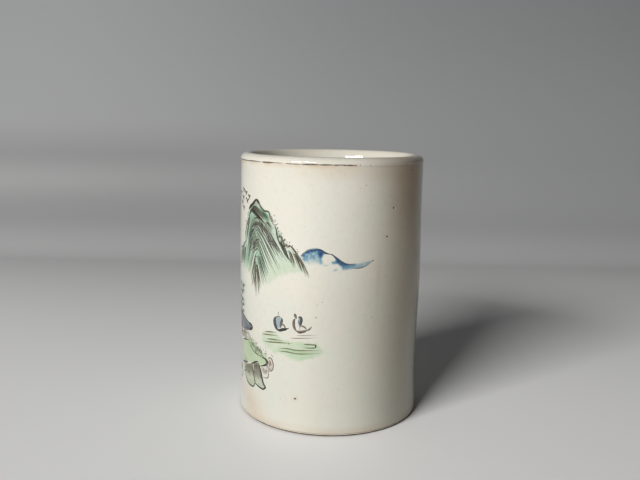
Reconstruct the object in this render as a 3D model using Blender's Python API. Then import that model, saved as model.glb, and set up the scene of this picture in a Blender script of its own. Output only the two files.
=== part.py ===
"""Porcelain brush holder pot: a straight round pot with a rolled lip and a low foot ring.

The pot stands on the XY plane with its axis on +Z. Lengths are in metres.
Each piece is turned from a cross-section drawn as (radius, height) points:

    wall         thrown cylinder of porcelain paste
    base_slab    round slab luted inside the wall's lower end
    foot_ring    turned ring under the wall, bare of glaze
    lip_ring     rounded coil that finishes the wall's upper end
    outer_glaze  coat on the outside of the wall
    inner_glaze  coat on the inside of the wall and on the floor
    lip_glaze    coat over the lip ring
    base_glaze   coat on the underside of the base slab, inside the foot ring
"""
import math

import bmesh
import bpy

# Driving dimensions
MM = 0.001
HEIGHT = 125.0 * MM
FOOT_RADIUS = 44.05 * MM
WAIST_RADIUS = 43.3 * MM
BELLY_RADIUS = 44.15 * MM
NECK_RADIUS = 43.6 * MM
WAIST_HEIGHT = 20.0 * MM
BELLY_HEIGHT = 70.0 * MM
INNER_RADIUS = 37.0 * MM

# Lip: round on its outer side, and easing slowly into the wall on its inner side
LIP_HEIGHT = 3.5 * MM
LIP_PROUD = 0.25 * MM
CREST_RADIUS = 40.6 * MM
INNER_EASE_HEIGHT = 8.0 * MM

# Foot and floor
FOOT_WIDTH = 6.5 * MM
BARE_BAND_HEIGHT = 1.1 * MM
BARE_BAND_INSET = 0.15 * MM
FOOT_RING_HEIGHT = 3.0 * MM
FOOT_ROUNDING = 1.0 * MM
SLAB_THICKNESS = 3.7 * MM
FLOOR_FILLET = 3.0 * MM

# Coats and the clearance that two touching pieces keep
GLAZE = 0.4 * MM
GAP = 0.3 * MM

# Fineness of the turned shapes
SEGMENTS = 64
WALL_STEPS = 10
EASE_STEPS = 4
ARC_STEPS = 6
SHARP_ANGLE = math.radians(35.0)

# Heights and radii that follow from the dimensions above
COAT = GLAZE + GAP
NECK_HEIGHT = HEIGHT - LIP_HEIGHT
LIP_RADIUS = NECK_RADIUS + LIP_PROUD
WALL_TOP = NECK_HEIGHT - GAP
WALL_BOTTOM = FOOT_RING_HEIGHT + GAP
SLAB_TOP = WALL_BOTTOM + SLAB_THICKNESS
FLOOR_BOTTOM = SLAB_TOP + GAP
FLOOR_TOP = FLOOR_BOTTOM + GLAZE
FOOT_INNER_RADIUS = FOOT_RADIUS - FOOT_WIDTH
EASE_START = HEIGHT - INNER_EASE_HEIGHT


def eased(start, end, share):
    """Go from start to end with level ends, as share goes from 0 to 1."""
    return start + (end - start) * 0.5 * (1.0 - math.cos(math.pi * share))


def outer_radius(height):
    """Radius of the glazed outside: wide at the foot, a slight waist, then a slight belly."""
    if height < WAIST_HEIGHT:
        return eased(FOOT_RADIUS, WAIST_RADIUS, height / WAIST_HEIGHT)
    if height < BELLY_HEIGHT:
        share = (height - WAIST_HEIGHT) / (BELLY_HEIGHT - WAIST_HEIGHT)
        return eased(WAIST_RADIUS, BELLY_RADIUS, share)
    share = (height - BELLY_HEIGHT) / (NECK_HEIGHT - BELLY_HEIGHT)
    return eased(BELLY_RADIUS, NECK_RADIUS, min(share, 1.0))


def wall_curve(bottom, top, inset):
    """Points up the outside between two heights, set in from the glazed surface."""
    points = []
    for step in range(WALL_STEPS + 1):
        height = bottom + (top - bottom) * step / WALL_STEPS
        points.append((outer_radius(height) - inset, height))
    return points


def arc(centre_radius, centre_height, size, start_degrees, end_degrees):
    """Points on a round corner of the cross-section, ends included."""
    points = []
    for step in range(ARC_STEPS + 1):
        angle = math.radians(start_degrees + (end_degrees - start_degrees) * step / ARC_STEPS)
        radius = centre_radius + size * math.cos(angle)
        height = centre_height + size * math.sin(angle)
        points.append((radius, height))
    return points


def inner_radius(height):
    """Radius of the glazed inside: a straight wall that opens out in an ellipse near the top."""
    rise = max(height - EASE_START, 0.0) / INNER_EASE_HEIGHT
    return CREST_RADIUS - (CREST_RADIUS - INNER_RADIUS) * math.sqrt(1.0 - min(rise, 1.0) ** 2)


def ease_curve(bottom, top, inset):
    """Points up the inside where it opens out, set back from the glazed surface."""
    points = []
    for step in range(EASE_STEPS + 1):
        height = bottom + (top - bottom) * step / EASE_STEPS
        points.append((inner_radius(height) + inset, height))
    return points


def crest_point(angle, inset):
    """A point on the ellipse from the lip's crest (angle 0) down its inner side, set in."""
    width = CREST_RADIUS - INNER_RADIUS
    across = math.sin(angle) / width
    up = math.cos(angle) / INNER_EASE_HEIGHT
    steepness = math.hypot(across, up)
    radius = CREST_RADIUS - width * math.sin(angle) + inset * across / steepness
    height = HEIGHT - INNER_EASE_HEIGHT * (1.0 - math.cos(angle)) - inset * up / steepness
    return radius, height


def lip_curve(inset):
    """The lip from the foot of its outer side, over the crest, to the foot of its inner side."""
    rounding = LIP_RADIUS - CREST_RADIUS
    points = [(LIP_RADIUS - inset, NECK_HEIGHT)]
    points += arc(CREST_RADIUS, HEIGHT - rounding, rounding - inset, 0.0, 90.0)
    last_angle = math.acos(1.0 - (LIP_HEIGHT - GAP) / INNER_EASE_HEIGHT)
    for step in range(1, ARC_STEPS + 1):
        points.append(crest_point(last_angle * step / ARC_STEPS, inset))
    points.append((inner_radius(NECK_HEIGHT) + inset, NECK_HEIGHT))
    return points


def material(name, colour, roughness):
    """A plain ceramic surface."""
    surface = bpy.data.materials.new(name)
    surface.use_nodes = True
    shader = surface.node_tree.nodes["Principled BSDF"]
    shader.inputs["Base Color"].default_value = (*colour, 1.0)
    shader.inputs["Roughness"].default_value = roughness
    shader.inputs["Metallic"].default_value = 0.0
    return surface


def turned(name, section, closed, surface):
    """Turn a cross-section once round the Z axis into a solid of its own.

    A closed section makes a ring. An open one starts and ends on the axis and makes a disc.
    """
    shape = bmesh.new()
    corners = [shape.verts.new((radius, 0.0, height)) for radius, height in section]
    edges = [shape.edges.new(pair) for pair in zip(corners, corners[1:])]
    if closed:
        edges.append(shape.edges.new((corners[-1], corners[0])))
    bmesh.ops.spin(shape, geom=corners + edges, cent=(0.0, 0.0, 0.0), axis=(0.0, 0.0, 1.0),
                   angle=2.0 * math.pi, steps=SEGMENTS, use_merge=True)
    bmesh.ops.remove_doubles(shape, verts=shape.verts, dist=1e-6)
    bmesh.ops.recalc_face_normals(shape, faces=shape.faces)
    mesh = bpy.data.meshes.new(name)
    shape.to_mesh(mesh)
    shape.free()
    mesh.shade_smooth()
    mesh.set_sharp_from_angle(angle=SHARP_ANGLE)
    mesh.materials.append(surface)
    piece = bpy.data.objects.new(name, mesh)
    bpy.context.scene.collection.objects.link(piece)
    return piece


def make_wall():
    """Thrown cylinder of paste between the two coats."""
    section = wall_curve(WALL_BOTTOM, WALL_TOP, COAT)
    section += reversed(ease_curve(EASE_START, WALL_TOP, COAT))
    section += [(INNER_RADIUS + COAT, WALL_BOTTOM)]
    return turned("wall", section, True, material("wall_paste", (0.78, 0.75, 0.68), 0.55))


def make_base_slab():
    """Round slab inside the wall's lower end, resting on the foot ring."""
    radius = INNER_RADIUS + COAT - GAP
    section = [(0.0, WALL_BOTTOM), (radius, WALL_BOTTOM), (radius, SLAB_TOP), (0.0, SLAB_TOP)]
    return turned("base_slab", section, False, material("slab_paste", (0.76, 0.73, 0.66), 0.6))


def make_foot_ring():
    """Bare ring under the wall, with a band at the floor that the outer glaze stops above."""
    band_radius = FOOT_RADIUS - BARE_BAND_INSET
    core_radius = outer_radius(FOOT_RING_HEIGHT) - COAT
    section = arc(band_radius - FOOT_ROUNDING, FOOT_ROUNDING, FOOT_ROUNDING, -90.0, 0.0)
    section += [(band_radius, BARE_BAND_HEIGHT), (core_radius, BARE_BAND_HEIGHT)]
    section += [(core_radius, FOOT_RING_HEIGHT), (FOOT_INNER_RADIUS, FOOT_RING_HEIGHT)]
    section += arc(FOOT_INNER_RADIUS + FOOT_ROUNDING, FOOT_ROUNDING, FOOT_ROUNDING, 180.0, 270.0)
    return turned("foot_ring", section, True, material("bare_paste", (0.62, 0.52, 0.40), 0.8))


def make_lip_ring():
    """Rounded paste core of the lip, standing on the wall."""
    return turned("lip_ring", lip_curve(COAT), True, material("lip_paste", (0.78, 0.75, 0.68), 0.55))


def make_outer_glaze():
    """Coat on the outside of the wall and over the foot ring's upper part."""
    bottom = BARE_BAND_HEIGHT + GAP
    section = wall_curve(bottom, WALL_TOP, 0.0)
    section += reversed(wall_curve(bottom, WALL_TOP, GLAZE))
    return turned("outer_glaze", section, True, material("outer_coat", (0.80, 0.79, 0.72), 0.12))


def make_inner_glaze():
    """Cup-shaped coat: the inside of the wall, the floor, and the glaze pooled between them."""
    section = [(0.0, FLOOR_BOTTOM), (INNER_RADIUS + GLAZE, FLOOR_BOTTOM)]
    section += ease_curve(EASE_START, WALL_TOP, GLAZE)
    section += reversed(ease_curve(EASE_START, WALL_TOP, 0.0))
    section += arc(INNER_RADIUS - FLOOR_FILLET, FLOOR_TOP + FLOOR_FILLET, FLOOR_FILLET, 0.0, -90.0)
    section += [(0.0, FLOOR_TOP)]
    return turned("inner_glaze", section, False, material("inner_coat", (0.82, 0.83, 0.76), 0.15))


def make_lip_glaze():
    """Coat that wraps the lip from its outer side to its inner side."""
    section = lip_curve(0.0)
    section += reversed(lip_curve(GLAZE))
    return turned("lip_glaze", section, True, material("lip_coat", (0.86, 0.85, 0.79), 0.1))


def make_base_glaze():
    """Coat on the underside of the base slab, in the recess that the foot ring leaves."""
    radius = FOOT_INNER_RADIUS - GAP
    top = WALL_BOTTOM - GAP
    section = [(0.0, top - GLAZE), (radius, top - GLAZE), (radius, top), (0.0, top)]
    return turned("base_glaze", section, False, material("base_coat", (0.78, 0.79, 0.72), 0.18))


def main():
    """Clear the scene and build every piece of the pot."""
    for old in list(bpy.data.objects):
        bpy.data.objects.remove(old, do_unlink=True)
    make_foot_ring()
    make_base_slab()
    make_wall()
    make_lip_ring()
    make_outer_glaze()
    make_inner_glaze()
    make_lip_glaze()
    make_base_glaze()


main()
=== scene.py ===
"""Looks of the porcelain brush holder pot: fine glazed surfaces, the enamel landscape and the lip line.

The pot's turned pieces take their cross-sections from the CAD nodes and are turned again, finer.
The painting is laid out on the unrolled wall. There a point is (along, up) in millimetres: along runs
round the wall from the front (-Y) to the right, and up is the height above the floor, before the
painting is shortened to fit the pot (PAINT_SHORTENING). Colours are linear (red, green, blue).
"""
import math

import bmesh
import bpy
import numpy as np
from mathutils import Matrix, Vector


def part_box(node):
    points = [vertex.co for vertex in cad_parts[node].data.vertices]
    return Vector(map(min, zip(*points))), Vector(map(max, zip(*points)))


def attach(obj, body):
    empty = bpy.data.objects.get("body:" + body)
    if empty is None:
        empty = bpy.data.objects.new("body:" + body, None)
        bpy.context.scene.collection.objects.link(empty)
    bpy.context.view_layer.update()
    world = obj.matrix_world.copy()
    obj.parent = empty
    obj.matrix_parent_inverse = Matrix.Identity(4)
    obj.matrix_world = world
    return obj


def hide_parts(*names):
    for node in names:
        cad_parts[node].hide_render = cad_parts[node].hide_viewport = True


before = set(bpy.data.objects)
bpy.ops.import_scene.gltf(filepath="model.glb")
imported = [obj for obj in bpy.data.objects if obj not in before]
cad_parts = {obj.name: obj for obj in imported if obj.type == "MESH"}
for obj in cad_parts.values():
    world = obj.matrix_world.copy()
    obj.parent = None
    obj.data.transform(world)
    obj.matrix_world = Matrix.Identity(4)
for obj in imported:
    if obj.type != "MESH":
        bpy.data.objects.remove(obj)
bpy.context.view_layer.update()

MM = 0.001
TINY = 1e-6
NOISE_CELLS = 256

# ---------------------------------------------------------------- measures from the frame

WALL_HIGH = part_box("outer_glaze")[1].z
LIP_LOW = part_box("lip_glaze")[0].z
POT_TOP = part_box("lip_glaze")[1].z
POT_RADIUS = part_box("outer_glaze")[1].x
POT_GIRTH = 2.0 * math.pi * POT_RADIUS / MM
JOINT_GAP = LIP_LOW - WALL_HIGH

# ---------------------------------------------------------------- measures chosen here

WALL_SPACING = 0.55 * MM        # between points up the outer coat
LIP_SPACING = 0.25 * MM         # between points round the lip and the foot
HIDDEN_STEP = 12                # on a side that is out of sight, one point in so many is kept
CLOSING_REACH = 1.5 * MM        # how far from the joint under the lip the coats change to close it

PAINT_SHORTENING = 0.9926       # the painting is drawn a little tall, and shortened from the top
RIM_RISE = 0.006 * MM           # how high a stroke's edge stands on the glaze
CROWN_RISE = 0.035 * MM         # how much higher the middle of a wide stroke stands
WIDE_HALF = 0.35                # the half-width, in mm, from which a stroke is wide
SUNK = 0.03 * MM                # how deep a stroke's underside lies in the glaze

# ---------------------------------------------------------------- smooth random fields


def noise(across, up, size, seed):
    """Smooth random values from -1 to 1 over a plane; size is the distance between bumps."""
    table = np.random.default_rng(seed).uniform(-1.0, 1.0, (NOISE_CELLS, NOISE_CELLS))
    x = np.asarray(across, float) / size
    y = np.asarray(up, float) / size
    column = np.floor(x).astype(int)
    row = np.floor(y).astype(int)
    blend_x = (x - column) ** 2 * (3.0 - 2.0 * (x - column))
    blend_y = (y - row) ** 2 * (3.0 - 2.0 * (y - row))
    left, right = column % NOISE_CELLS, (column + 1) % NOISE_CELLS
    low, high = row % NOISE_CELLS, (row + 1) % NOISE_CELLS
    lower = table[low, left] * (1.0 - blend_x) + table[low, right] * blend_x
    upper = table[high, left] * (1.0 - blend_x) + table[high, right] * blend_x
    return lower * (1.0 - blend_y) + upper * blend_y


def round_the_pot(angle):
    """An angle as a place on the noise: the whole way round the pot is as wide as its table."""
    return angle / (2.0 * math.pi) * NOISE_CELLS


def ease(low, high, value):
    """0 at low, 1 at high, and smooth between them."""
    share = np.clip((value - low) / (high - low), 0.0, 1.0)
    return share * share * (3.0 - 2.0 * share)


# ---------------------------------------------------------------- turned pieces


def section_of(node):
    """A turned node's cross-section where y = 0 and x > 0: its (radius, height) points in order."""
    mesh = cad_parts[node].data
    links = {}
    for edge in mesh.edges:
        ends = [mesh.vertices[index].co for index in edge.vertices]
        if all(abs(end.y) < TINY and end.x > -TINY for end in ends):
            first, second = [(round(end.x, 6), round(end.z, 6)) for end in ends]
            links.setdefault(first, set()).add(second)
            links.setdefault(second, set()).add(first)
    loose_ends = sorted(point for point, others in links.items() if len(others) == 1)
    path = [loose_ends[0] if loose_ends else min(links)]
    while True:
        onward = sorted(point for point in links[path[-1]] if point not in path)
        if not onward:
            return np.array(path), not loose_ends
        path.append(onward[0])


def smooth_section(node, spacing, corner_degrees=32.0):
    """The node's cross-section with its round stretches made smooth and its corners kept."""
    points, closed = section_of(node)
    count = len(points)
    before = np.roll(points, 1, axis=0)
    after = np.roll(points, -1, axis=0)
    arriving = points - before
    leaving = after - points
    crossed = arriving[:, 0] * leaving[:, 1] - arriving[:, 1] * leaving[:, 0]
    sharp = np.abs(np.arctan2(crossed, (arriving * leaving).sum(1))) > math.radians(corner_degrees)
    if not closed:
        sharp[[0, -1]] = True
    result = []
    for index in range(count if closed else count - 1):
        following = (index + 1) % count
        here, there = points[index], points[following]
        chord = there - here
        length = np.linalg.norm(chord)
        slopes = [chord if sharp[index] else there - before[index],
                  chord if sharp[following] else after[following] - here]
        start, end = [slope * length / max(np.linalg.norm(slope), TINY) for slope in slopes]
        steps = max(1, int(round(length / spacing)))
        for share in np.arange(steps) / steps:
            curve = here * (1 + 2 * share) * (1 - share) ** 2 + there * share ** 2 * (3 - 2 * share)
            result.append(curve + start * share * (1 - share) ** 2 - end * share ** 2 * (1 - share))
    if not closed:
        result.append(points[-1])
    return np.array(result), closed


def facing(section):
    """For each point of a section, how much its surface faces away from the pot's axis, from -1 to 1."""
    ahead = np.roll(section, -1, axis=0) - np.roll(section, 1, axis=0)
    onward = np.roll(section, -1, axis=0)
    turning = np.sign((section[:, 0] * onward[:, 1] - section[:, 1] * onward[:, 0]).sum())
    return turning * ahead[:, 1] / np.maximum(np.linalg.norm(ahead, axis=1), TINY)


def mesh_object(name, points, faces):
    """A smooth-shaded object made from points and faces."""
    mesh = bpy.data.meshes.new(name)
    mesh.from_pydata([tuple(point) for point in points], [], faces)
    mesh.shade_smooth()
    piece = bpy.data.objects.new(name, mesh)
    bpy.context.scene.collection.objects.link(piece)
    return piece


def close_up(piece, sharp_degrees=50.0):
    """Merge the points that meet on the axis, and face every side out."""
    shape = bmesh.new()
    shape.from_mesh(piece.data)
    bmesh.ops.remove_doubles(shape, verts=shape.verts, dist=1e-7)
    bmesh.ops.recalc_face_normals(shape, faces=shape.faces)
    shape.to_mesh(piece.data)
    shape.free()
    piece.data.shade_smooth()
    piece.data.set_sharp_from_angle(angle=math.radians(sharp_degrees))


def fine_turned(name, node, spacing, angles, relief, hidden):
    """Turn the node's smoothed section through the angles. relief gives each point its final place.

    hidden is 1 or -1 where the side away from or towards the axis is out of sight and can be coarse.
    """
    section, closed = smooth_section(node, spacing)
    fine = facing(section) * hidden < 0.9
    section = section[fine | (np.arange(len(section)) % HIDDEN_STEP == 0)]
    rows, columns = len(section), len(angles)
    angle, radius = np.meshgrid(angles, section[:, 0])
    height = np.meshgrid(angles, section[:, 1])[1]
    radius, height = relief(angle, radius, height)
    points = np.stack([radius * np.sin(angle), -radius * np.cos(angle), height], -1).reshape(-1, 3)
    faces = []
    for row in range(rows if closed else rows - 1):
        lower, upper = row * columns, (row + 1) % rows * columns
        for column in range(columns):
            beside = (column + 1) % columns
            faces.append((lower + column, lower + beside, upper + beside, upper + column))
    piece = mesh_object(name, points, faces)
    close_up(piece)
    return piece


# ---------------------------------------------------------------- materials


def new_material(name, **values):
    """A node material whose Principled sockets hold the given values."""
    material = bpy.data.materials.new(name)
    material.use_nodes = True
    shader = material.node_tree.nodes["Principled BSDF"]
    for key, value in values.items():
        shader.inputs[key.replace("_", " ")].default_value = value
    return material, shader


def add_node(material, kind, inputs, **settings):
    """Add a node. An input is set by its name or number, to a value or to another node's output."""
    node = material.node_tree.nodes.new(kind)
    for key, value in settings.items():
        setattr(node, key, value)
    for key, value in inputs.items():
        if isinstance(value, bpy.types.NodeSocket):
            material.node_tree.links.new(value, node.inputs[key])
        else:
            node.inputs[key].default_value = value
    return node


def join(material, output, socket):
    """Link one node's output to another's input."""
    material.node_tree.links.new(output, socket)


def place(material):
    """Positions on the object, in metres."""
    return add_node(material, "ShaderNodeTexCoord", {}).outputs["Object"]


def cloud(material, where, size, detail=2.0):
    """Soft random values about 0.5; size is the distance between bumps, in metres."""
    node = add_node(material, "ShaderNodeTexNoise", {"Vector": where, "Scale": 1.0 / size, "Detail": detail})
    return node.outputs["Fac"]


def ramp(material, value, low, high, to_low=0.0, to_high=1.0):
    """Map a value from one range to another, held at the ends."""
    inputs = {"Value": value, "From Min": low, "From Max": high, "To Min": to_low, "To Max": to_high}
    return add_node(material, "ShaderNodeMapRange", inputs, interpolation_type="SMOOTHSTEP").outputs[0]


def blend(material, share, first, second, kind="MIX"):
    """Mix two colours."""
    node = add_node(material, "ShaderNodeMix", {"Factor": share}, data_type="RGBA", blend_type=kind)
    for socket, colour in ((node.inputs[6], first), (node.inputs[7], second)):
        if isinstance(colour, bpy.types.NodeSocket):
            join(material, colour, socket)
        else:
            socket.default_value = (*colour, 1.0)
    return node.outputs[2]


def times(material, first, second):
    """Multiply two values."""
    return add_node(material, "ShaderNodeMath", {0: first, 1: second}, operation="MULTIPLY").outputs[0]


def bumps(material, shader, heights):
    """Add surface relief from (value, depth in metres) pairs, one bump over another."""
    normal = None
    for value, depth in heights:
        inputs = {"Height": value, "Distance": depth, "Strength": 1.0}
        if normal is not None:
            inputs["Normal"] = normal
        normal = add_node(material, "ShaderNodeBump", inputs).outputs[0]
    join(material, normal, shader.inputs["Normal"])


def glaze_material(name, clear, thick, washed=False, gloss=(0.03, 0.07), rim=None, browned_and_shaded=False):
    """Glossy porcelain glaze: cream, cooler where it is thick, with peach blushes and fine grit.

    rim gives the clear and thick colours that the glaze turns to just below the lip. The last flag tones
    the near right side brown and darker: partly a brown tone, partly painted shade.
    """
    material, shader = new_material(name, IOR=1.5)
    where = place(material)
    split = add_node(material, "ShaderNodeSeparateXYZ", {"Vector": where}).outputs
    rise = split["Z"]
    thickness = ramp(material, cloud(material, where, 0.022), 0.35, 0.7)
    colour = blend(material, thickness, clear, thick)
    if browned_and_shaded:
        # painted shade, with some real brown tone: the lip's near right side, away from the light, goes
        # darker brown
        nearer = ramp(material, split["Y"], 0.015, -0.004)
        rightward = ramp(material, split["X"], 0.006, 0.042, 0.0, 0.75)
        colour = blend(material, rightward, colour, blend(material, nearer, colour, (0.33, 0.27, 0.21)))
    if rim:
        near_lip = ramp(material, rise, WALL_HIGH - 4.0 * MM, WALL_HIGH + 1.0 * MM)
        colour = blend(material, near_lip, colour, blend(material, thickness, *rim))
    # darker towards the bottom, in plain grey, on every glaze inside and out
    downward = ramp(material, rise, 0.115, 0.0)
    colour = blend(material, downward, colour, (0.84, 0.85, 0.845), "MULTIPLY")
    blush = ramp(material, cloud(material, where, 0.035, 3.0), 0.56, 0.78, 0.0, 0.14)
    colour = blend(material, blush, colour, (0.80, 0.66, 0.52))
    grime = ramp(material, cloud(material, where, 0.0022, 5.0), 0.45, 0.80, 0.0, 0.12)
    colour = blend(material, grime, colour, (0.46, 0.38, 0.28))
    grit = add_node(material, "ShaderNodeTexVoronoi", {"Vector": where, "Scale": 260.0})
    speck = ramp(material, grit.outputs["Distance"], 0.02, 0.07, 0.35, 0.0)
    colour = blend(material, speck, colour, (0.42, 0.36, 0.27))
    if washed:
        wash = add_node(material, "ShaderNodeAttribute", {}, attribute_name="wash").outputs["Color"]
        colour = blend(material, 1.0, colour, wash, "MULTIPLY")
    join(material, colour, shader.inputs["Base Color"])
    join(material, ramp(material, cloud(material, where, 0.006), 0.3, 0.7, gloss[0], gloss[1]),
         shader.inputs["Roughness"])
    bumps(material, shader, [(cloud(material, where, 0.0013, 0.0), 0.000006),
                             (cloud(material, where, 0.009, 1.0), 0.00006)])
    return material


def bare_material(name):
    """Unglazed paste of the foot: gritty, with brown stain from use, near black along its lowest millimetre,
    partly dirt and partly painted contact shadow.
    """
    material, shader = new_material(name, IOR=1.45)
    where = place(material)
    stain = ramp(material, cloud(material, where, 0.004, 4.0), 0.35, 0.68)
    # painted contact shadow, partly dirt: the lowest millimetre of the foot is near black
    dirt_and_contact_shade = blend(material, stain, (0.16, 0.11, 0.065), (0.045, 0.033, 0.022))
    rise = add_node(material, "ShaderNodeSeparateXYZ", {"Vector": where}).outputs["Z"]
    above_the_dark_edge = ramp(material, rise, 0.0008, 0.0010)
    join(material, blend(material, above_the_dark_edge, dirt_and_contact_shade, (0.68, 0.63, 0.53)), shader.inputs["Base Color"])
    grain = cloud(material, where, 0.0004, 3.0)
    join(material, ramp(material, grain, 0.3, 0.7, 0.7, 0.95), shader.inputs["Roughness"])
    bumps(material, shader, [(grain, 0.00004)])
    return material


def enamel_material(name):
    """Overglaze enamel: each stroke's own ink, a little uneven, glossy and slightly raised."""
    material, shader = new_material(name, IOR=1.52)
    where = place(material)
    ink = add_node(material, "ShaderNodeAttribute", {}, attribute_name="ink").outputs["Color"]
    patchy = ramp(material, cloud(material, where, 0.0006, 3.0), 0.40, 0.75, 0.0, 0.10)
    join(material, blend(material, patchy, ink, (0.30, 0.29, 0.22)), shader.inputs["Base Color"])
    join(material, ramp(material, cloud(material, where, 0.002), 0.3, 0.7, 0.18, 0.38),
         shader.inputs["Roughness"])
    bumps(material, shader, [(cloud(material, where, 0.0003, 2.0), 0.000012)])
    return material


def paste_material(name):
    """Fired paste inside the coats: white, matte and fine-grained."""
    material, shader = new_material(name, IOR=1.45)
    where = place(material)
    grain = cloud(material, where, 0.0005, 3.0)
    join(material, blend(material, ramp(material, grain, 0.3, 0.7), (0.72, 0.69, 0.62), (0.80, 0.78, 0.72)),
         shader.inputs["Base Color"])
    join(material, ramp(material, cloud(material, where, 0.003), 0.3, 0.7, 0.5, 0.7),
         shader.inputs["Roughness"])
    bumps(material, shader, [(grain, 0.00002)])
    return material


# ---------------------------------------------------------------- the pot's own surfaces

EVEN_ANGLES = np.linspace(-math.pi, math.pi, 320, endpoint=False)


def hand_made(angle, height, depth, seed):
    """How far a thrown wall strays from true, in metres: slow swellings and faint turning rings."""
    across = round_the_pot(angle)
    swelling = noise(across, height / MM, 32.0, seed)
    rings = noise(across * 0.25, height / MM, 5.0, seed + 1) * 0.25
    return (swelling + rings - 1.0) * depth


def outer_relief(angle, radius, height):
    """The outer coat: close the joint under the lip and let the wall stray a little from true."""
    lifted = height + (JOINT_GAP + 0.05 * MM) * ease(WALL_HIGH - CLOSING_REACH, WALL_HIGH, height)
    return radius + hand_made(angle, height, 0.10 * MM, 11), lifted


def lip_relief(angle, radius, height):
    """The lip's coat: tuck its lower edge in to the wall, and let its crest wander."""
    tuck = 0.25 * MM * (1.0 - ease(LIP_LOW - 0.1 * MM, LIP_LOW + 1.4 * MM, height))
    outside = radius > POT_RADIUS - 1.2 * MM
    wander = noise(round_the_pot(angle), np.zeros_like(angle), 16.0, 21) * 0.07 * MM
    wander = wander * ease(LIP_LOW, LIP_LOW + CLOSING_REACH, height)
    return radius - np.where(outside, tuck, 0.0) + wander, height - np.abs(wander) * 0.8


def inner_relief(angle, radius, height):
    """The inner coat: close the joint under the lip, and give the wall its turning rings."""
    top = ease(WALL_HIGH - CLOSING_REACH, WALL_HIGH, height)
    wavy = ease(6.0 * MM, 30.0 * MM, radius) * ease(WALL_HIGH, WALL_HIGH - 20.0 * MM, height)
    radius = radius + hand_made(angle, height, 0.12 * MM, 31) * wavy + 0.08 * MM * top
    return radius, height + (JOINT_GAP + 0.02 * MM) * top


def foot_relief(angle, radius, height):
    """The foot: a worn edge with small nicks, flat where it stands."""
    across = round_the_pot(angle)
    worn = noise(across, radius / MM, 1.3, 41) * 0.08 * MM
    nick = np.maximum(noise(across, np.zeros_like(angle), 2.1, 43) - 0.72, 0.0) * 0.9 * MM
    side = ease(0.15 * MM, 0.6 * MM, height)
    return radius - (np.abs(worn) + nick) * side, np.maximum(height, 0.0)


def base_relief(angle, radius, height):
    """The coat under the base: faint rings left by turning."""
    rings = noise(radius / MM, np.zeros_like(radius), 3.0, 51) * 0.05 * MM
    return radius, height - np.abs(rings)


def painted_angles():
    """Angles round the outer coat: close together under the painting, wider on the blank side."""
    painting_left, painting_right, fine_step, coarse_steps = -100.0, 44.0, 0.45, 90
    fine = np.arange(painting_left, painting_right, fine_step) * MM / POT_RADIUS
    rest = 2.0 * math.pi - (fine[-1] - fine[0])
    coarse = fine[-1] + rest * np.arange(1, coarse_steps) / coarse_steps
    return np.concatenate([fine, coarse])


def make_surfaces():
    """Turn the fine surfaces that stand for the CAD's coats and foot."""
    # each pair is a glaze's colour where it is clear and where it is thick
    wall_colours = (0.695, 0.671, 0.591), (0.676, 0.676, 0.600)
    lip_colours = (0.700, 0.665, 0.580), (0.690, 0.668, 0.590)
    inner_colours = (0.737, 0.747, 0.680), (0.709, 0.737, 0.671)
    base_colours = (0.780, 0.780, 0.700), (0.740, 0.770, 0.700)
    pieces = {}
    for name, node, spacing, angles, relief, hidden, material, slot in (
            ("outer_coat", "outer_glaze", WALL_SPACING, painted_angles(), outer_relief, -1,
             glaze_material("washed_glaze", *wall_colours, True, (0.08, 0.16)), "clear_glaze"),
            ("lip_coat", "lip_glaze", LIP_SPACING, EVEN_ANGLES, lip_relief, 0,
             glaze_material("lip_gloss", *lip_colours, browned_and_shaded=True), "lip_glaze"),
            ("inner_coat", "inner_glaze", 1.0 * MM, EVEN_ANGLES, inner_relief, 1,
             glaze_material("inner_gloss", *inner_colours, rim=lip_colours), "clear_glaze"),
            ("base_coat", "base_glaze", 0.8 * MM, EVEN_ANGLES, base_relief, 0,
             glaze_material("base_gloss", *base_colours), "clear_glaze"),
            ("foot", "foot_ring", LIP_SPACING, EVEN_ANGLES, foot_relief, 0,
             bare_material("foot_paste"), "bare_paste")):
        piece = fine_turned(name, node, spacing, angles, relief, hidden)
        piece.data.materials.append(material)
        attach(piece, "root")
        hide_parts(node)
        pieces[name] = piece
    paste = paste_material("inner_paste")
    for node in ("wall", "base_slab", "lip_ring"):
        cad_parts[node].data.materials.clear()
        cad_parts[node].data.materials.append(paste)
    return pieces


# ---------------------------------------------------------------- brush strokes and washes

INK = (0.030, 0.032, 0.026)
OLIVE_INK = (0.062, 0.062, 0.036)
HEMP_INK = (0.044, 0.040, 0.024)
EARTH_INK = (0.105, 0.085, 0.050)
BROWN_INK = (0.145, 0.100, 0.065)
RUST_INK = (0.190, 0.085, 0.055)
PLUM_INK = (0.230, 0.170, 0.160)
NAVY_INK = (0.025, 0.055, 0.120)
SLATE_INK = (0.060, 0.075, 0.095)
BARE_GLAZE = (0.70, 0.69, 0.61)

TEAL_WASH = (0.45, 0.70, 0.62)
LEAF_WASH = (0.70, 0.88, 0.70)
GRASS_WASH = (0.63, 0.80, 0.58)
BLUE_WASH = (0.27, 0.48, 0.68)
SLATE_WASH = (0.29, 0.33, 0.40)
SHADE_WASH = (0.42, 0.40, 0.33)
PEACH_WASH = (0.90, 0.78, 0.72)
# a tea-brown tone that also serves as painted shade on the right side
TEA_STAIN_AND_SHADE_WASH = (0.82, 0.76, 0.70)
RUST_WASH = (0.86, 0.62, 0.46)
# plain grey darkening: painted shade
PAINTED_SHADE_WASH = (0.87, 0.87, 0.86)


def outer_side(node, spacing):
    """The heights and radii of a turned node's outer side, from low to high."""
    section, _ = smooth_section(node, spacing)
    outside = section[(facing(section) > 0.5) & (section[:, 0] > POT_RADIUS - 2.0 * MM)]
    return outside[np.argsort(outside[:, 1])].T[::-1]


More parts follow.
